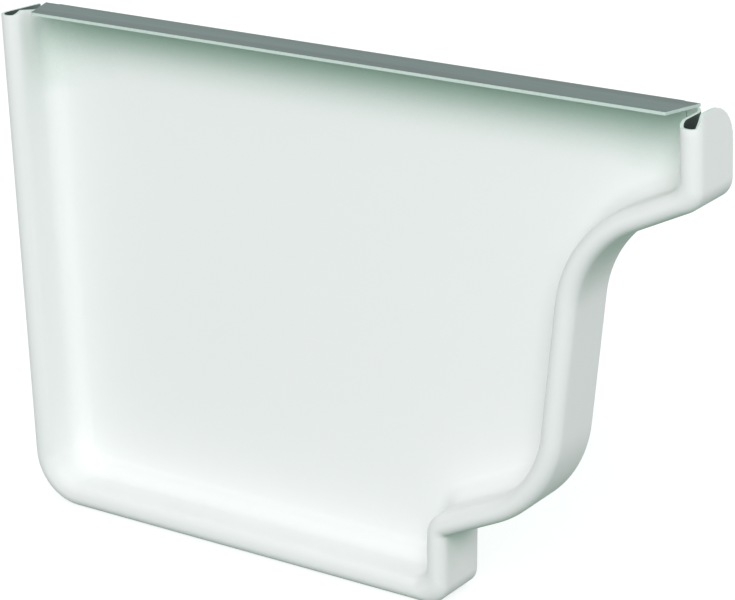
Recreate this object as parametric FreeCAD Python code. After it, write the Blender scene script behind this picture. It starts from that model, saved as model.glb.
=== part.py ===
"""Gutter end cap: one pressed sheet that closes the end of an ogee (K-style) roof gutter.

The sheet is a shallow pan. Its flat face lies behind a round-crowned rim, and the rim is folded
back on itself as a channel that slips over the end of the gutter. The top is open, and the top
edge of the face is folded forward as a stiffening lip.

Modelled in millimetres. While the sheet is built, X runs from the back flange (against the
fascia) to the front lip, Y from the outside of the house end into the gutter, and Z up from the
underside. The finished sheet is moved so that the origin is the middle of its footprint.
"""
import FreeCAD, Part
import math
import os
from FreeCAD import Vector

# Sheet and overall size
sheet = 0.5             # thickness of the painted sheet
width = 130.0           # back flange to front lip, outside
height = 86.8           # underside to the top of the folded lip

# Outline, seen from outside: places are measured back from the front lip, and up or down
step_back = 45.5        # foot of the step in the underside
step_lean = 0.5         # how far the top of the step leans to the front
step_height = 12.4      # top of the step
belly_back = 25.2       # corner of the belly
belly_height = 21.7     # the same corner, above the underside
cove_back = 19.7        # corner of the hollow under the front lip
cove_drop = 22.7        # the same corner, below the lip's top
nose_drop = 13.2        # lower corner of the front lip, below the lip's top

# Rounded corners of the outline
back_radius = 8.7
step_foot_radius = 3.6
step_head_radius = 0.6
belly_radius = 20.6
cove_radius = 17.9
nose_radius = 3.8
most_of_line = 0.98     # share of a line beside a corner that its arc may take at most

# Rim and face
rim_width = 3.6         # over both walls of the channel
crown_flat = 0.1        # flat left along the top of the rounded crown
face_depth = 8.6        # crown of the rim to the front of the face
flange_reach = 1.1      # reverse of the face to the back edge of the flange
root_radius = 3.0       # fillet between the rim's inner wall and the face
corner_spare = 0.3      # how much rounder the inner wall's corners are than that fillet

# Folded lip
lip_set_back = 1.6      # crown of the rim to the lip's front edge
lip_bend_radius = 0.8   # inside of the lip's fold
lip_end_gap = 0.3       # lip's ends to the rim's inner walls beside them and the sheet below
lip_taper = 2.2         # how much shorter the lip's front edge is, at each end
fold_end_gap = 0.1      # ends of the fold to the fillets at the inner walls

# Trimmed top of the rim, measured down from the lip's top
crown_climb = 1.7       # run over which the trimmed edge climbs from the crown to the walls
ear_climb = 1.1         # the same run at the front flange
back_crown_drop = 0.7   # crown at the back
back_wall_drop = 0.1    # inner wall at the back
back_flange_drop = 0.8  # flange at the back, beside the crown
back_flange_fall = 2.1  # further fall of that flange to its back edge
front_crown_drop = 1.5  # crown at the front
front_wall_drop = 0.8   # inner wall at the front
ear_rise = 0.65         # the front flange stands this far above the lip's top
ear_radius = 6.0        # rounded back corner of that flange

# Room past the sheet for the tools that trim it
trim_room = 10.0

depth = face_depth + sheet + flange_reach
crown_radius = (rim_width - crown_flat) / 2
crown_middle = rim_width / 2
lip_outer_radius = lip_bend_radius + sheet
fold_top = height - 2 * lip_outer_radius
fold_side_top = height - sheet - lip_end_gap
lip_flat_back = face_depth - lip_bend_radius
lip_end = rim_width + lip_end_gap
wall_end = rim_width + lip_end_gap / 2
fold_start = rim_width + root_radius + fold_end_gap
trim_top = height + ear_rise + trim_room


def arc_room(point, neighbour):
    """How much of the line to the next corner an arc may take: half of it if that one is rounded too."""
    place, radius = neighbour
    share = most_of_line / 2 if radius else most_of_line
    return share * (place - point).Length


def rounded_face(corners):
    """Face inside straight lines, with an arc of the given radius at each corner between the end ones."""
    edges = []
    start = corners[0][0]
    end = corners[-1][0]
    for corner_before, (point, radius), corner_after in zip(corners, corners[1:], corners[2:]):
        if not radius:
            edges.append(Part.LineSegment(start, point))
            start = point
            continue
        to_before = (corner_before[0] - point).normalize()
        to_after = (corner_after[0] - point).normalize()
        to_middle = (to_before + to_after).normalize()
        half = to_before.getAngle(to_after) / 2
        reach = min(radius / math.tan(half), arc_room(point, corner_before), arc_room(point, corner_after))
        arc_start = point + to_before * reach
        arc_middle = point + to_middle * (reach / math.cos(half) - reach * math.tan(half))
        arc_end = point + to_after * reach
        edges.append(Part.LineSegment(start, arc_start))
        edges.append(Part.Arc(arc_start, arc_middle, arc_end))
        start = arc_end
    edges.append(Part.LineSegment(start, end))
    edges.append(Part.LineSegment(end, corners[0][0]))
    return Part.Face(Part.Wire([edge.toShape() for edge in edges]))


def outline_face():
    """Outer outline of the cap as a face in the plane of the crown, closed above the trimmed top."""
    return rounded_face([
        (Vector(0, 0, trim_top), 0),
        (Vector(0, 0, 0), back_radius),
        (Vector(width - step_back, 0, 0), step_foot_radius),
        (Vector(width - step_back + step_lean, 0, step_height), step_head_radius),
        (Vector(width - belly_back, 0, belly_height), belly_radius),
        (Vector(width - cove_back, 0, height - cove_drop), cove_radius),
        (Vector(width, 0, height - nose_drop), nose_radius),
        (Vector(width, 0, trim_top), 0),
    ])


def edges_at(solid, y):
    """Edges of a solid that lie at one depth."""
    tolerance = 1e-6
    return [e for e in solid.Edges if abs(e.BoundBox.YMin - y) < tolerance
            and abs(e.BoundBox.YMax - y) < tolerance]


def form(outline, inset):
    """Form of the pan as a solid, with all its pressed surfaces set in by the given distance."""
    outside = outline.makeOffset2D(-inset) if inset else outline
    wall_inset = rim_width - inset
    corner_radius = root_radius + inset + corner_spare
    inside = outline.makeOffset2D(-(wall_inset + corner_radius)).makeOffset2D(corner_radius)
    body = outside.extrude(Vector(0, depth, 0))
    body.translate(Vector(0, inset, 0))
    recess = inside.extrude(Vector(0, face_depth + inset + trim_room, 0))
    recess.translate(Vector(0, -trim_room, 0))
    pan = body.cut(recess)
    pan = pan.makeFillet(crown_radius - inset, edges_at(pan, inset))
    return pan.makeFillet(root_radius + inset, edges_at(pan, face_depth + inset))


def pressed_pan():
    """The sheet as pressed: the space between two forms that lie one thickness apart."""
    outline = outline_face()
    return form(outline, 0).cut(form(outline, sheet))


def waste(x_from, x_to, trimmed_edge):
    """What is trimmed off between two places along the top, above an edge given in depth and height."""
    corners = [(Vector(x_from, y, z), radius) for y, z, radius in trimmed_edge]
    above_first = Vector(x_from, trimmed_edge[0][0], trim_top + trim_room)
    above_last = Vector(x_from, trimmed_edge[-1][0], trim_top + trim_room)
    side = rounded_face([(above_first, 0)] + corners + [(above_last, 0)])
    return side.extrude(Vector(x_to - x_from, 0, 0))


def top_waste():
    """All that is trimmed off the top: at the two channels, and between their walls where the lip goes."""
    near = -trim_room
    far = depth + trim_room
    climbed = sheet + crown_climb
    back_crown = height - back_crown_drop
    back_wall = height - back_wall_drop
    back_flange = height - back_flange_drop
    front_crown = height - front_crown_drop
    front_wall = height - front_wall_drop
    ear_top = height + ear_rise
    back_outer = [(near, back_crown, 0), (sheet, back_crown, 0), (climbed, back_flange, 0),
                  (depth, back_flange - back_flange_fall, 0), (far, back_flange - back_flange_fall, 0)]
    back_inner = [(near, back_crown, 0), (sheet, back_crown, 0), (climbed, back_wall, 0), (far, back_wall, 0)]
    fold = [(near, fold_top, 0), (far, fold_top, 0)]
    fold_side = [(near, fold_side_top, 0), (far, fold_side_top, 0)]
    front_inner = [(near, front_crown, 0), (sheet, front_crown, 0), (climbed, front_wall, 0),
                   (far, front_wall, 0)]
    front_outer = [(near, front_crown, 0), (sheet, front_crown, 0), (sheet + ear_climb, ear_top, 0),
                   (depth, ear_top, ear_radius), (depth, front_crown - trim_room, 0),
                   (far, front_crown - trim_room, 0)]
    return [
        waste(-trim_room, crown_middle, back_outer),
        waste(crown_middle, wall_end, back_inner),
        waste(wall_end, fold_start, fold_side),
        waste(fold_start, width - fold_start, fold),
        waste(width - fold_start, width - wall_end, fold_side),
        waste(width - wall_end, width - crown_middle, front_inner),
        waste(width - crown_middle, width + trim_room, front_outer),
    ]


def lip_fold():
    """The lip over the length of its fold, from the face's top edge to the lip's front edge."""
    face_back = face_depth + sheet
    underside = height - sheet
    section = rounded_face([
        (Vector(fold_start, face_back, fold_top), 0),
        (Vector(fold_start, face_back, height), lip_outer_radius),
        (Vector(fold_start, lip_set_back, height), 0),
        (Vector(fold_start, lip_set_back, underside), 0),
        (Vector(fold_start, face_depth, underside), lip_bend_radius),
        (Vector(fold_start, face_depth, fold_top), 0),
    ])
    return section.extrude(Vector(width - 2 * fold_start, 0, 0))


def lip_flat():
    """The flat of the lip, from wall to wall at its back and shorter at its front edge."""
    underside = height - sheet
    plan = rounded_face([
        (Vector(lip_end, lip_flat_back, underside), 0),
        (Vector(lip_end + lip_taper, lip_set_back, underside), 0),
        (Vector(width - lip_end - lip_taper, lip_set_back, underside), 0),
        (Vector(width - lip_end, lip_flat_back, underside), 0),
    ])
    return plan.extrude(Vector(0, 0, sheet))


def end_cap():
    """The finished sheet."""
    cap = pressed_pan().cut(top_waste()).fuse([lip_fold(), lip_flat()]).removeSplitter()
    cap.translate(Vector(-width / 2, -depth / 2, 0))
    return cap


os.makedirs("parts", exist_ok=True)
end_cap().exportStep("parts/end_cap.step")
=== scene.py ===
# %% [markdown]
# # A gutter end cap in Blender
#
# The real object is one sheet of painted metal, pressed into a shallow pan that closes the end of
# an ogee roof gutter. A sheet like this could be cut out of a block with booleans, but a sheet has
# one property that a modeller should keep: it has the same thickness everywhere. So this lesson
# models only the painted front of the sheet, as a grid of faces, and lets Blender add thickness.
#
# The frame that is loaded first is the construction model. It fixes where the part lies and how
# large it is, and everything below is measured from it, in metres.

# %% Load the frame
import math

import bmesh
import bpy
from mathutils import Euler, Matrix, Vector


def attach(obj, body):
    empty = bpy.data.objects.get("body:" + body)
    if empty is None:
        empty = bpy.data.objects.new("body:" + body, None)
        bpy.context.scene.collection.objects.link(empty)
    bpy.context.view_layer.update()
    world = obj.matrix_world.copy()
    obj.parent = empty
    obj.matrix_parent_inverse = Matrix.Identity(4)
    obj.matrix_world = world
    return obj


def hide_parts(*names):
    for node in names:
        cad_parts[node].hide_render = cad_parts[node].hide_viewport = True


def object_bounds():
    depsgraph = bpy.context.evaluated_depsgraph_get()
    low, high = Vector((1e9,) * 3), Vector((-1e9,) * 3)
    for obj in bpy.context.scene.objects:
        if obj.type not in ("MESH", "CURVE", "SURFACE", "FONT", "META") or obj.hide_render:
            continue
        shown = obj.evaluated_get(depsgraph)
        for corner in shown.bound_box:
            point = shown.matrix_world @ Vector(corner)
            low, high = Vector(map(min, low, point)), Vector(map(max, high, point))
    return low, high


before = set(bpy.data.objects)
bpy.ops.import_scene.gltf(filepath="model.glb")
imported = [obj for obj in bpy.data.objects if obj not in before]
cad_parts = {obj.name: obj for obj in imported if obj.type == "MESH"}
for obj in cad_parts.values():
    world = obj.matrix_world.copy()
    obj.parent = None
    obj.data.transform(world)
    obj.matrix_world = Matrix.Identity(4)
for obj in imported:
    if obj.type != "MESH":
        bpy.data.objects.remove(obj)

cad_low, cad_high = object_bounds()
print("construction model:", [round(v, 4) for v in cad_high - cad_low], "metres")

# %% [markdown]
# ## Sizes
#
# Width, depth and the level of the front ear are read from the frame. The rest are the sizes that a
# maker would read off the drawing of the press tool. X runs from the back flange to the front lip,
# Y from the rim's crown into the gutter and Z up from the underside. Writing them once, with names,
# means that a wrong radius is mended in one place.

# %% Sizes in metres
mm = 0.001
width = cad_high.x - cad_low.x
depth = cad_high.y - cad_low.y
ear_top = cad_high.z - cad_low.z
sheet = 0.5 * mm
ear_rise = 0.65 * mm
height = ear_top - ear_rise

step_back, step_lean, step_height = 45.5 * mm, 0.5 * mm, 12.4 * mm
belly_back, belly_height = 25.2 * mm, 21.7 * mm
cove_back, cove_drop = 19.7 * mm, 22.7 * mm
nose_drop = 13.2 * mm

back_radius, step_foot_radius, step_head_radius = 8.7 * mm, 3.6 * mm, 0.6 * mm
belly_radius, cove_radius, nose_radius = 20.6 * mm, 17.9 * mm, 3.8 * mm

rim_width = 3.6 * mm
crown_radius = rim_width / 2
face_depth = 8.6 * mm
root_radius = 3.0 * mm
tightest_root_corner = 0.3 * mm
tightest_wall_corner = root_radius + tightest_root_corner
print("sheet", sheet / mm, "mm thick, face", face_depth / mm, "mm behind the crown")

# %% [markdown]
# ## The outline
#
# Seen from the front, the cap is a chain of straight lines with rounded corners: the upright back,
# the underside, the step, the belly, the hollow cove and the nose of the front lip. The rim needs
# this outline three times: at the outside, at the inner wall and where the wall's root meets the
# face. A scaled copy would be wrong, because the rim is equally wide everywhere. Instead, each line
# moves inwards by the same distance, and each corner's radius shrinks or grows with it.
#
# All three copies are sampled with the same number of points for each line and arc, so point
# number n of one copy lies across the rim from point number n of the next.

# %% Outline helpers
# Place, radius and number of arc parts of each corner
outline_corners = [
    (Vector((0, 0)), back_radius, 14),
    (Vector((width - step_back, 0)), step_foot_radius, 12),
    (Vector((width - step_back + step_lean, step_height)), step_head_radius, 10),
    (Vector((width - belly_back, belly_height)), belly_radius, 18),
    (Vector((width - cove_back, height - cove_drop)), cove_radius, 18),
    (Vector((width, height - nose_drop)), nose_radius, 12),
]
line_parts = 5
lip_bend_radius = 0.8 * mm
fold_level = height - 2 * (lip_bend_radius + sheet)


def inward(direction):
    """Unit vector across a line of the outline, towards the face."""
    return Vector((-direction.y, direction.x)).normalized()


def moved_corner(before, corner, after, inset):
    """Where a corner goes when the two lines that meet there move inwards."""
    first = (corner - before).normalized()
    second = (after - corner).normalized()
    across = (inward(first) + inward(second)).normalized()
    return corner + across * (inset / across.dot(inward(first)))


def corner_arc(before, corner, after, radius, parts):
    """Points of the arc that rounds a corner, from one tangent point to the other."""
    to_before = (before - corner).normalized()
    to_after = (after - corner).normalized()
    half = to_before.angle(to_after) / 2
    centre = corner + (to_before + to_after).normalized() * (radius / math.sin(half))
    start = corner + to_before * (radius / math.tan(half)) - centre
    end = corner + to_after * (radius / math.tan(half)) - centre
    turn = start.angle(end)
    points = []
    for i in range(parts + 1):
        angle = turn * i / parts
        spoke = start * math.sin(turn - angle) + end * math.sin(angle)
        points.append(centre + spoke / math.sin(turn))
    return points


def outline_at(inset, tightest):
    """Outline points from the back's top to the front's top, with all lines moved inwards."""
    places = [corner for corner, _, _ in outline_corners]
    chain = [Vector((0, ear_top))] + places + [Vector((width, ear_top))]
    moved = [Vector((inset, ear_top))]
    for i in range(1, len(chain) - 1):
        moved.append(moved_corner(chain[i - 1], chain[i], chain[i + 1], inset))
    moved.append(Vector((width - inset, ear_top)))
    points = [moved[0], Vector((inset, fold_level))]
    for i, (_, radius, parts) in enumerate(outline_corners, start=1):
        turn = (chain[i] - chain[i - 1]).cross(chain[i + 1] - chain[i])
        inner_radius = max(radius - inset, tightest) if turn > 0 else radius + inset
        arc = corner_arc(moved[i - 1], moved[i], moved[i + 1], inner_radius, parts)
        last = points[-1]
        points += [last.lerp(arc[0], k / line_parts) for k in range(1, line_parts)]
        points += arc
    last = points[-1]
    end = Vector((width - inset, fold_level))
    points += [last.lerp(end, k / line_parts) for k in range(1, line_parts)]
    return points + [end, moved[-1]]


outer_line = outline_at(0, 0)
wall_line = outline_at(rim_width, tightest_wall_corner)
root_line = outline_at(rim_width + root_radius, tightest_root_corner)
print("outline of", len(outer_line), "points, three times")

# %% [markdown]
# ## The trimmed top of the rim
#
# At its two upper ends the folded rim is simply cut off, and the cut isn't level: at the back, the
# inner wall falls away towards the lip, so that the dark inside of the flange shows above it, and
# the front flange stands up as a rounded ear. Each function below gives the level of the cut at a
# depth behind the crown. The mesh uses them to place the last point of each row, which gives the
# true edge without any cutting.

# %% Levels of the cut edge
crown_climb, ear_climb = 1.7 * mm, 1.1 * mm
climbed = sheet + crown_climb
back_crown, back_wall = height - 0.7 * mm, height - 0.1 * mm
back_flange, back_flange_fall = height - 0.7 * mm, 0.5 * mm
front_crown, front_wall = height - 1.5 * mm, height - 0.8 * mm
ear_radius = 6.0 * mm
lip_end_gap = 0.3 * mm
fold_side = height - sheet - lip_end_gap
wall_end = face_depth - root_radius


def climb(y, low, high, run):
    """Level of an edge that climbs from the crown to a wall or flange."""
    share = min(max((y - sheet) / run, 0), 1)
    return low + (high - low) * share


def back_flange_level(y):
    """Level of the cut along the back flange, which falls towards its rear edge."""
    past = max(y - climbed, 0) / (depth - climbed)
    return climb(y, back_crown, back_flange, crown_climb) - back_flange_fall * past


def front_ear_level(y):
    """Level of the cut along the front flange, up to the ear's rounded corner."""
    past = min(max(y - (depth - ear_radius), 0) / ear_radius, 1)
    rounding = ear_radius * (1 - math.sqrt(1 - past * past))
    return climb(y, front_crown, ear_top, ear_climb) - rounding


def back_wall_level(y):
    """Level of the cut along the back's inner wall, which falls towards the face."""
    past = max(y - climbed, 0) / (wall_end - climbed)
    return climb(y, back_crown, back_wall, crown_climb) - (back_wall - fold_side) * past


def front_wall_level(y):
    """Level of the cut along the front's inner wall."""
    return climb(y, front_crown, front_wall, crown_climb)


print("front ear", round((ear_top - height) / mm, 2), "mm above the lip")

# %% [markdown]
# ## Rows across the rim
#
# A row is one line that follows the outline at a fixed place in the rim's section. Walking across
# the section, the rows go from the rear edge of the flange, over the half-round crown, down the
# inner wall and through the quarter-round root to the face. On round stretches the rows are spaced
# by angle, and on the flange they are spaced to suit the ear's rounded corner.

# %% Rows of the section
ear_parts, crown_parts, root_parts = 8, 16, 8
end_length = 0.5 * mm
upright_points = line_parts + 2


def section_rows():
    """Each row: how far it is set in, its depth, and the levels of its back and front ends."""
    section = []
    for i in range(ear_parts + 1):
        angle = math.pi / 2 * (1 - i / ear_parts)
        y = depth - ear_radius + ear_radius * math.sin(angle)
        section.append((0, y, back_flange_level(y), front_ear_level(y)))
    section.append((0, climbed, back_flange_level(climbed), front_ear_level(climbed)))
    for i in range(crown_parts + 1):
        angle = math.pi * i / crown_parts
        y = crown_radius - crown_radius * math.sin(angle)
        inset = crown_radius - crown_radius * math.cos(angle)
        outside = i <= crown_parts // 2
        back = back_flange_level(y) if outside else back_wall_level(y)
        front = front_ear_level(y) if outside else front_wall_level(y)
        section.append((inset, y, back, front))
    for y in (climbed, (climbed + wall_end) / 2, wall_end):
        section.append((rim_width, y, back_wall_level(y), front_wall))
    for i in range(1, root_parts + 1):
        angle = math.pi / 2 * i / root_parts
        inset = rim_width + root_radius * (1 - math.cos(angle))
        y = wall_end + root_radius * math.sin(angle)
        beside_lip = inset > rim_width + lip_end_gap / 2
        front = fold_side if beside_lip else front_wall
        section.append((inset, y, fold_side, front))
    return section


def trim_end(line, level):
    """Moves the points of an upright end line so that its first point lies on the cut edge."""
    foot = line[-1].y
    last_below = min(fold_level, level - end_length)
    for point in line[1:-1]:
        point.y = foot + (point.y - foot) * (last_below - foot) / (fold_level - foot)
    line[0].y = level


def row_points(inset, y, back_level, front_level):
    """Points of one row in the part's frame, trimmed at both ends."""
    if inset <= rim_width:
        share = inset / rim_width
        flat = [a.lerp(b, share) for a, b in zip(outer_line, wall_line)]
    else:
        share = (inset - rim_width) / root_radius
        flat = [a.lerp(b, share) for a, b in zip(wall_line, root_line)]
    trim_end(flat[:upright_points], back_level)
    trim_end(flat[::-1][:upright_points], front_level)
    return [Vector((cad_low.x + p.x, cad_low.y + y, cad_low.z + p.y)) for p in flat]


rows = [row_points(*row) for row in section_rows()]
print(len(rows), "rows across the rim")

# %% [markdown]
# ## Face and lip
#
# The flat face closes the ring that the last row leaves, up to the level where the lip's fold
# begins. The lip is two more small grids: the fold rises from the face and turns forward through a
# quarter circle, and the flat goes on to the front edge. The paint is on the lower side, so what
# shows from above is the reverse of the sheet. A folded tab needs room at its ends, so the flat
# reaches from wall to wall only at its back and tapers towards its front edge.

# %% Painted surface
lip_set_back, lip_taper = 1.6 * mm, 2.2 * mm
fold_end_gap = 0.1 * mm
lip_parts, fold_parts, flat_parts = 24, 8, 3
flat_back = face_depth - lip_bend_radius
flat_level = height - sheet


def fold_rows():
    """Depth and level of each row of the fold, from the face to the back of the lip's flat."""
    section = [(face_depth, fold_level)]
    for i in range(fold_parts + 1):
        angle = math.pi / 2 * i / fold_parts
        y = flat_back + lip_bend_radius * math.cos(angle)
        z = flat_level - lip_bend_radius + lip_bend_radius * math.sin(angle)
        section.append((y, z))
    return section


def add_points(shape, places, y, z):
    """One row of vertices along X."""
    return [shape.verts.new((cad_low.x + x, cad_low.y + y, cad_low.z + z)) for x in places]


def add_strips(shape, rows_of_points):
    """Faces between rows of vertices that lie side by side."""
    for first, second in zip(rows_of_points, rows_of_points[1:]):
        for i in range(len(first) - 1):
            shape.faces.new((first[i], first[i + 1], second[i + 1], second[i]))


def lip_flat_rows(shape, places, fold_end):
    """Rows of the lip's flat, which start at the end of the fold and taper to the front edge."""
    flat = []
    for i in range(flat_parts + 1):
        share = i / flat_parts
        y = flat_back + (lip_set_back - flat_back) * share
        end = rim_width + lip_end_gap + lip_taper * share
        middle = add_points(shape, places, y, flat_level) if i else fold_end
        corners = add_points(shape, [end, width - end], y, flat_level)
        flat.append([corners[0]] + middle + [corners[1]])
    return flat


def painted_surface():
    """Mesh of the sheet's painted front, one face thick."""
    shape = bmesh.new()
    rim = [[shape.verts.new(p) for p in row] for row in rows]
    fold_start = rim_width + root_radius + fold_end_gap
    fold_length = width - 2 * fold_start
    places = [fold_start + fold_length * i / lip_parts for i in range(lip_parts + 1)]
    fold = [add_points(shape, places, y, z) for y, z in fold_rows()]
    add_strips(shape, rim)
    add_strips(shape, fold)
    add_strips(shape, lip_flat_rows(shape, places, fold[-1]))
    shape.faces.new(rim[-1][1:-1] + fold[0][::-1])
    mesh = bpy.data.meshes.new("end_cap_sheet")
    shape.to_mesh(mesh)
    shape.free()
    mesh.polygons.foreach_set("use_smooth", [True] * len(mesh.polygons))
    return mesh


cap = bpy.data.objects.new("end_cap_sheet", painted_surface())
bpy.context.scene.collection.objects.link(cap)
print("painted surface:", len(cap.data.vertices), "points,", len(cap.data.polygons), "faces")

# %% [markdown]
# ## Thickness and edges
#
# Solidify copies the surface to the reverse side and closes the gap at the cut edges. Its two
# material offsets give the reverse side and the cut edges finishes of their own, so no face has to
# be picked by hand. A small Bevel takes the sharpness off the sheared edges, as the paint does on
# the real sheet, and Weighted Normal keeps the big flat face shading flat beside the small rounds.

# %% Modifiers
cut_edge_round, cut_edge_parts = 0.09 * mm, 2
sharp_angle = math.radians(50)
solidify = cap.modifiers.new("sheet thickness", "SOLIDIFY")
solidify.thickness = sheet
solidify.offset = -1
solidify.use_even_offset = True
solidify.material_offset = 1
solidify.material_offset_rim = 2

bevel = cap.modifiers.new("sheared edges", "BEVEL")
bevel.width = cut_edge_round
bevel.segments = cut_edge_parts
bevel.limit_method = "ANGLE"
bevel.angle_limit = sharp_angle

normals = cap.modifiers.new("flat face stays flat", "WEIGHTED_NORMAL")
normals.keep_sharp = True
print("modifiers:", [m.name for m in cap.modifiers])

# %% [markdown]
# ## Paint that isn't quite even
#
# Coil-coated sheet looks plain, but baked paint is never perfectly even: it has a fine skin like an
# orange's, and its shade drifts a little over a hand's width. On the reverse, where the coat is
# thin, the drift follows the way the sheet was rolled and shows as long streaks. All three finishes
# of the sheet have this at different strengths, so the effect is a node group with inputs: it puts
# out a shade and a height, and each material decides what they do. The streaks are the same noise
# with its place squeezed along the sheet.

# %% Node group for uneven paint
drift_detail, skin_detail = 2.0, 1.0


def new_group(name, inputs, outputs):
    """Empty shader node group with float inputs and outputs, and its two end nodes."""
    group = bpy.data.node_groups.new(name, "ShaderNodeTree")
    for label, value in inputs:
        socket = group.interface.new_socket(label, in_out="INPUT", socket_type="NodeSocketFloat")
        socket.default_value = value
    for label in outputs:
        group.interface.new_socket(label, in_out="OUTPUT", socket_type="NodeSocketFloat")
    start = group.nodes.new("NodeGroupInput")
    end = group.nodes.new("NodeGroupOutput")
    return group, start, end


def paint_skin_group():
    """Slow drift of the shade, drawn out along X where squeezed, and the paint's fine skin."""
    inputs = [("Drift Scale", 30.0), ("Drift Squeeze", 1.0), ("Skin Scale", 1500.0)]
    group, start, end = new_group("paint skin", inputs, ["Drift", "Skin"])
    place = group.nodes.new("ShaderNodeTexCoord")
    squeeze = group.nodes.new("ShaderNodeCombineXYZ")
    for axis in "YZ":
        squeeze.inputs[axis].default_value = 1.0
    rolled = group.nodes.new("ShaderNodeVectorMath")
    rolled.operation = "MULTIPLY"
    drift = group.nodes.new("ShaderNodeTexNoise")
    drift.inputs["Detail"].default_value = drift_detail
    skin = group.nodes.new("ShaderNodeTexNoise")
    skin.inputs["Detail"].default_value = skin_detail
    link = group.links.new
    link(start.outputs["Drift Squeeze"], squeeze.inputs["X"])
    link(place.outputs["Object"], rolled.inputs[0])
    link(squeeze.outputs["Vector"], rolled.inputs[1])
    link(rolled.outputs["Vector"], drift.inputs["Vector"])
    link(start.outputs["Drift Scale"], drift.inputs["Scale"])
    link(place.outputs["Object"], skin.inputs["Vector"])
    link(start.outputs["Skin Scale"], skin.inputs["Scale"])
    link(drift.outputs["Fac"], end.inputs["Drift"])
    link(skin.outputs["Fac"], end.inputs["Skin"])
    return group


paint_skin = paint_skin_group()
print("group:", paint_skin.name, "with", [s.name for s in paint_skin.interface.items_tree])

# %% [markdown]
# ## Painted shade
#
# The white isn't the same all over, and some of its shade is painted into the colour. Painted shade,
# greener than the white, lies where something shelters the sheet from above, so it is deepest under
# the lip and on the undersides. On the reverse, painted shade darkens tight nooks, such as the inside
# of the folded channel. Faces that look up, and the rim's crown, which stands proud of everything
# else, are painted a little darker too. Masks that are worked out from the shape fit both sides of
# the sheet: an Ambient Occlusion node that looks straight up finds shelter, one with a short reach
# finds nooks, the surface's direction finds faces that look up, and the depth of a place finds the
# crown. They make a second group for the two painted finishes, each of which uses three of its four
# masks.

# %% Node group for painted shade
shelter_reach, nook_reach = 15.0 * mm, 5.0 * mm
# Openness, direction or depth at which each mask of painted shade starts and is full
shelter_shade_starts, shelter_shade_is_full = 0.28, 0.0
nook_shade_starts, nook_shade_is_full = 0.85, 0.35
upward_shade_starts, upward_shade_is_full = 0.0, 0.5
crown_shade_starts, crown_shade_is_full = cad_low.y + crown_radius, cad_low.y + crown_radius / 3


def openness(group, reach):
    """Node that measures how open the sheet's surroundings are, up to a distance."""
    node = group.nodes.new("ShaderNodeAmbientOcclusion")
    node.only_local = True
    node.inputs["Distance"].default_value = reach
    return node


def mask_range(group, starts, is_full, shape="LINEAR"):
    """Node that turns a measure into a mask, from nothing at one value to full at another."""
    mask = group.nodes.new("ShaderNodeMapRange")
    mask.interpolation_type = shape
    mask.inputs["From Min"].default_value = starts
    mask.inputs["From Max"].default_value = is_full
    return mask


def painted_shade_group():
    """Masks of painted shade under shelter, in nooks, on faces that look up and on the crown."""
    group, _, end = new_group("painted shade masks", [], ["Shelter Shade", "Nook Shade", "Upward Shade", "Crown Shade"])
    up = group.nodes.new("ShaderNodeCombineXYZ")
    up.inputs["Z"].default_value = 1.0
    open_sky = openness(group, shelter_reach)
    open_near = openness(group, nook_reach)
    facing = group.nodes.new("ShaderNodeNewGeometry")
    level = group.nodes.new("ShaderNodeSeparateXYZ")
    place = group.nodes.new("ShaderNodeTexCoord")
    proud = group.nodes.new("ShaderNodeSeparateXYZ")
    link = group.links.new
    link(up.outputs["Vector"], open_sky.inputs["Normal"])
    link(facing.outputs["Normal"], level.inputs["Vector"])
    link(place.outputs["Object"], proud.inputs["Vector"])
    # Painted shade under shelter, in nooks, on faces that look up and on the crown
    masks = {
        "Shelter Shade": (open_sky.outputs["AO"], mask_range(group, shelter_shade_starts, shelter_shade_is_full, "SMOOTHSTEP")),
        "Nook Shade": (open_near.outputs["AO"], mask_range(group, nook_shade_starts, nook_shade_is_full)),
        "Upward Shade": (level.outputs["Z"], mask_range(group, upward_shade_starts, upward_shade_is_full, "SMOOTHSTEP")),
        "Crown Shade": (proud.outputs["Y"], mask_range(group, crown_shade_starts, crown_shade_is_full)),
    }
    for name, (measure, mask) in masks.items():
        link(measure, mask.inputs["Value"])
        link(mask.outputs["Result"], end.inputs[name])
    return group


shade_masks = painted_shade_group()
print("group:", shade_masks.name, "with", [s.name for s in shade_masks.interface.items_tree])

# %% [markdown]
# ## Parts that the materials share
#
# Every material below starts from the same Principled shader and needs the same few things: a group
# with values of its own, a colour between two shades, a value between two others, and tints laid
# over a colour. These nodes could be written out in each material. As helpers of a few lines, they let
# a material read as a short list of what is linked to what.

# %% Material helpers


def new_material(name):
    """Material, its Principled shader, and what adds and links its nodes."""
    material = bpy.data.materials.new(name)
    material.use_nodes = True
    tree = material.node_tree
    return material, tree.nodes["Principled BSDF"], tree.nodes, tree.links.new


def group_node(nodes, group, values):
    """Places a node group in a material, with values of its own."""
    node = nodes.new("ShaderNodeGroup")
    node.node_tree = group
    for label, value in values.items():
        node.inputs[label].default_value = value
    return node


def two_shades(nodes, first, second):
    """Mix node between two colours."""
    shades = nodes.new("ShaderNodeMix")
    shades.data_type = "RGBA"
    shades.inputs["A"].default_value = first
    shades.inputs["B"].default_value = second
    return shades


def value_range(nodes, low, high):
    """Node that turns a share from 0 to 1 into a value between two others."""
    spread = nodes.new("ShaderNodeMapRange")
    spread.inputs["To Min"].default_value = low
    spread.inputs["To Max"].default_value = high
    return spread


def tinted(nodes, link, colour, masks):
    """Colour after each mask has multiplied its tint into it."""
    for mask, tint in masks:
        layer = nodes.new("ShaderNodeMix")
        layer.data_type = "RGBA"
        layer.blend_type = "MULTIPLY"
        layer.inputs["B"].default_value = tint
        link(mask, layer.inputs["Factor"])
        link(colour, layer.inputs["A"])
        colour = layer.outputs["Result"]
    return colour


print("material helpers are ready")
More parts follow.
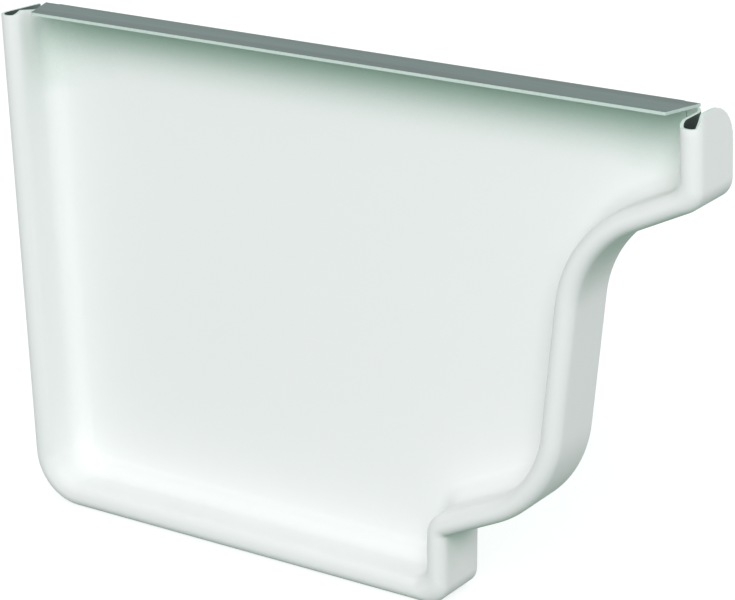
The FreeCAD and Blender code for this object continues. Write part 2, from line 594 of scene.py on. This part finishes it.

# %% [markdown]
# ## White enamel and grey reverse coat
#
# The front is a satin white with a faint cool green in it, and the reverse has only a thin grey wash
# coat. Both are the same kind of material: the colour drifts between a light and a dark shade, the
# masks multiply painted shade into it one after the other, and the skin feeds a weak bump, so that
# reflections are soft-edged. Tints that multiply are chosen over layers of another colour, because
# they darken a pale coat and a dark one by the same share, as shade does.

# %% Painted finishes
# Tints of painted shade: greener and darker under shelter, dark in nooks, a little darker on faces
# that look up and on the crown
shelter_shade_tint = (0.52, 0.68, 0.59, 1)
nook_shade_tint = (0.22, 0.25, 0.24, 1)
upward_shade_tint = (0.925, 0.93, 0.925, 1)
crown_shade_tint = (0.93, 0.935, 0.935, 1)
bump_strength = 0.3


def painted_material(name, light, dark, roughness, roughness_spread, gloss, skin_height,
                     pattern, tints):
    """Material of a baked coat: two shades, painted shade tints, a varying roughness and a fine skin.
    """
    material, shader, nodes, link = new_material(name)
    shader.inputs["Specular IOR Level"].default_value = gloss
    skin = group_node(nodes, paint_skin, pattern)
    painted_shade = group_node(nodes, shade_masks, {})
    shades = two_shades(nodes, dark, light)
    rough = value_range(nodes, roughness - roughness_spread, roughness + roughness_spread)
    bump = nodes.new("ShaderNodeBump")
    bump.inputs["Strength"].default_value = bump_strength
    bump.inputs["Distance"].default_value = skin_height
    masks = [(painted_shade.outputs[mark], tint) for mark, tint in tints.items()]
    link(skin.outputs["Drift"], shades.inputs["Factor"])
    link(tinted(nodes, link, shades.outputs["Result"], masks), shader.inputs["Base Color"])
    link(skin.outputs["Drift"], rough.inputs["Value"])
    link(rough.outputs["Result"], shader.inputs["Roughness"])
    link(skin.outputs["Skin"], bump.inputs["Height"])
    link(bump.outputs["Normal"], shader.inputs["Normal"])
    return material


# The enamel gets painted shade under shelter, on faces that look up and on the crown
white_enamel = painted_material(
    "white enamel",
    light=(0.885, 0.90, 0.895, 1),
    dark=(0.87, 0.89, 0.885, 1),
    roughness=0.60,
    roughness_spread=0.05,
    gloss=0.15,
    skin_height=0.02 * mm,
    pattern={"Drift Scale": 25.0, "Skin Scale": 1400.0},
    tints={"Shelter Shade": shelter_shade_tint, "Upward Shade": upward_shade_tint, "Crown Shade": crown_shade_tint},
)
# The reverse coat gets painted shade under shelter, in nooks and on faces that look up
reverse_coat = painted_material(
    "grey reverse coat",
    light=(0.193, 0.262, 0.25, 1),
    dark=(0.087, 0.122, 0.114, 1),
    roughness=0.55,
    roughness_spread=0.08,
    gloss=0.3,
    skin_height=0.03 * mm,
    pattern={"Drift Scale": 420.0, "Drift Squeeze": 0.03, "Skin Scale": 2200.0},
    tints={"Shelter Shade": shelter_shade_tint, "Nook Shade": nook_shade_tint, "Upward Shade": upward_shade_tint},
)
print("painted finishes:", white_enamel.name, "and", reverse_coat.name)

# %% [markdown]
# ## Cut edge
#
# Where the sheet is sheared, a little metal shows between the two coats. The edge is only half a
# millimetre wide, but it draws the light line along the front of the lip. The shear drags some paint
# over the metal and leaves fine marks across the edge, so the shade and the share of bare metal
# follow the drift, here squeezed the other way, and the roughness follows the skin.

# %% Cut edge
sheared = {"Drift Scale": 900.0, "Drift Squeeze": 3.0, "Skin Scale": 6000.0}
bare_shade, coated_shade = (0.51, 0.63, 0.575, 1), (0.62, 0.735, 0.685, 1)
bare_metal, coated_metal = 0.3, 0.1
smooth_shear, torn_shear = 0.35, 0.6


def cut_edge_material():
    """Sheared metal with fine marks and a little paint dragged over it."""
    material, shader, nodes, link = new_material("cut edge")
    skin = group_node(nodes, paint_skin, sheared)
    shades = two_shades(nodes, bare_shade, coated_shade)
    metal = value_range(nodes, bare_metal, coated_metal)
    rough = value_range(nodes, smooth_shear, torn_shear)
    link(skin.outputs["Drift"], shades.inputs["Factor"])
    link(shades.outputs["Result"], shader.inputs["Base Color"])
    link(skin.outputs["Drift"], metal.inputs["Value"])
    link(metal.outputs["Result"], shader.inputs["Metallic"])
    link(skin.outputs["Skin"], rough.inputs["Value"])
    link(rough.outputs["Result"], shader.inputs["Roughness"])
    return material


for finish in (white_enamel, reverse_coat, cut_edge_material()):
    cap.data.materials.append(finish)
print("finishes on the sheet:", [m.name for m in cap.data.materials])

# %% [markdown]
# ## Tie the sheet to the frame
#
# The modelled sheet stands for the construction model's only node, so that node is hidden and the
# sheet rides on the body that carries it.

# %% Ride and replace
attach(cap, "root")
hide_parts("end_cap")
print("sheet rides on root and replaces end_cap")

# %% [markdown]
# ## Floor
#
# The cap stands on a plain pale floor. A white floor would throw so much light up that the cove and
# the belly lose their shade, so the floor lights the sheet only as a dull grey would, and glows
# white where the camera or a reflection looks at it. Light Path tells those rays from the rays that
# bring light. The glow alone is a little under white, so the cap's own shadow still shows on it.

# %% Floor
floor_size = 6.0
floor_shade, floor_roughness = (0.24, 0.30, 0.27, 1), 0.9
floor_glow = 0.8
white = (1, 1, 1, 1)


def seen_as_backdrop(nodes, link):
    """1 where the camera or a reflection sees a surface, and 0 for rays that bring light."""
    rays = nodes.new("ShaderNodeLightPath")
    seen = rays.outputs["Is Camera Ray"]
    for kind in ("Is Glossy Ray", "Is Transmission Ray"):
        total = nodes.new("ShaderNodeMath")
        total.operation = "ADD"
        link(seen, total.inputs[0])
        link(rays.outputs[kind], total.inputs[1])
        seen = total.outputs["Value"]
    return seen


def floor_material():
    """Dull grey that glows white where it is seen."""
    material, shader, nodes, link = new_material("pale floor")
    shader.inputs["Base Color"].default_value = floor_shade
    shader.inputs["Roughness"].default_value = floor_roughness
    shader.inputs["Emission Color"].default_value = white
    glow = value_range(nodes, 0.0, floor_glow)
    link(seen_as_backdrop(nodes, link), glow.inputs["Value"])
    link(glow.outputs["Result"], shader.inputs["Emission Strength"])
    return material


half = floor_size / 2
floor_mesh = bpy.data.meshes.new("floor")
floor_mesh.from_pydata([(-half, -half, 0), (half, -half, 0), (half, half, 0), (-half, half, 0)], [],
                       [(0, 1, 2, 3)])
floor_mesh.materials.append(floor_material())
floor = bpy.data.objects.new("floor", floor_mesh)
floor.location.z = cad_low.z
bpy.context.scene.collection.objects.link(floor)
print("floor of", floor_size, "metres")

# %% [markdown]
# ## Light
#
# The soft, nearly even white of the sheet comes from a light tent: light from all sides, with one
# large soft box in front and to the right. The tent is the world's light, and it keeps the crowns
# from flaring up. The soft box draws the shade under the lip and lights the inner wall at the back,
# and a weak second one lights the flanges at the right. Each box is given by its compass angle from
# the front and its height angle, which is how a photographer would note them.

# %% Light
lamp_distance, lamp_size = 1.5, 0.9
tent_strength, seen_strength = 0.65, 1.0


def soft_lamp(name, compass, height_angle, power):
    """Square area lamp that looks at the middle of the cap, placed by its two angles in degrees."""
    lamp = bpy.data.lights.new(name, "AREA")
    lamp.size = lamp_size
    lamp.energy = power
    rig = bpy.data.objects.new(name, lamp)
    turn = Euler((math.radians(-height_angle), 0, math.radians(compass)))
    rig.location = turn.to_matrix() @ Vector((0, -lamp_distance, 0))
    middle = (cad_low + cad_high) / 2
    rig.rotation_euler = (middle - rig.location).to_track_quat("-Z", "Y").to_euler()
    bpy.context.scene.collection.objects.link(rig)


def light_tent():
    """World that lights from all sides, and is white where it is seen."""
    world = bpy.data.worlds.new("light tent")
    world.use_nodes = True
    nodes, link = world.node_tree.nodes, world.node_tree.links.new
    tent = nodes["Background"]
    tent.inputs["Color"].default_value = white
    strength = value_range(nodes, tent_strength, seen_strength)
    link(seen_as_backdrop(nodes, link), strength.inputs["Value"])
    link(strength.outputs["Result"], tent.inputs["Strength"])
    return world


soft_lamp("front soft box", compass=28, height_angle=35, power=13.4)
soft_lamp("right soft box", compass=100, height_angle=35, power=1.8)
bpy.context.scene.world = light_tent()
bpy.context.scene.view_settings.view_transform = "Standard"
print("two soft boxes and a light tent are set")

# %% [markdown]
# ## Camera
#
# The photograph was taken with a long lens from the front right and a little above. The camera's
# place, its angles and its lens were found by fitting the cap's outline to the photograph. The three
# belong together: a nearer camera with a wider lens would change the outline's proportions.

# %% Camera
photo_width, sensor_width = 735, 36.0
focal_length_in_pixels = 2885.8
camera_place = (251.753 * mm, -340.684 * mm, 203.763 * mm)
camera_angles = (69.6412, 2.0625, 35.2855)
camera_data = bpy.data.cameras.new("camera")
camera_data.sensor_width = sensor_width
camera_data.lens = focal_length_in_pixels / photo_width * sensor_width
camera = bpy.data.objects.new("camera", camera_data)
camera.location = camera_place
camera.rotation_euler = Euler([math.radians(angle) for angle in camera_angles])
bpy.context.scene.collection.objects.link(camera)
bpy.context.scene.camera = camera
print("lens", round(camera_data.lens, 1), "mm")
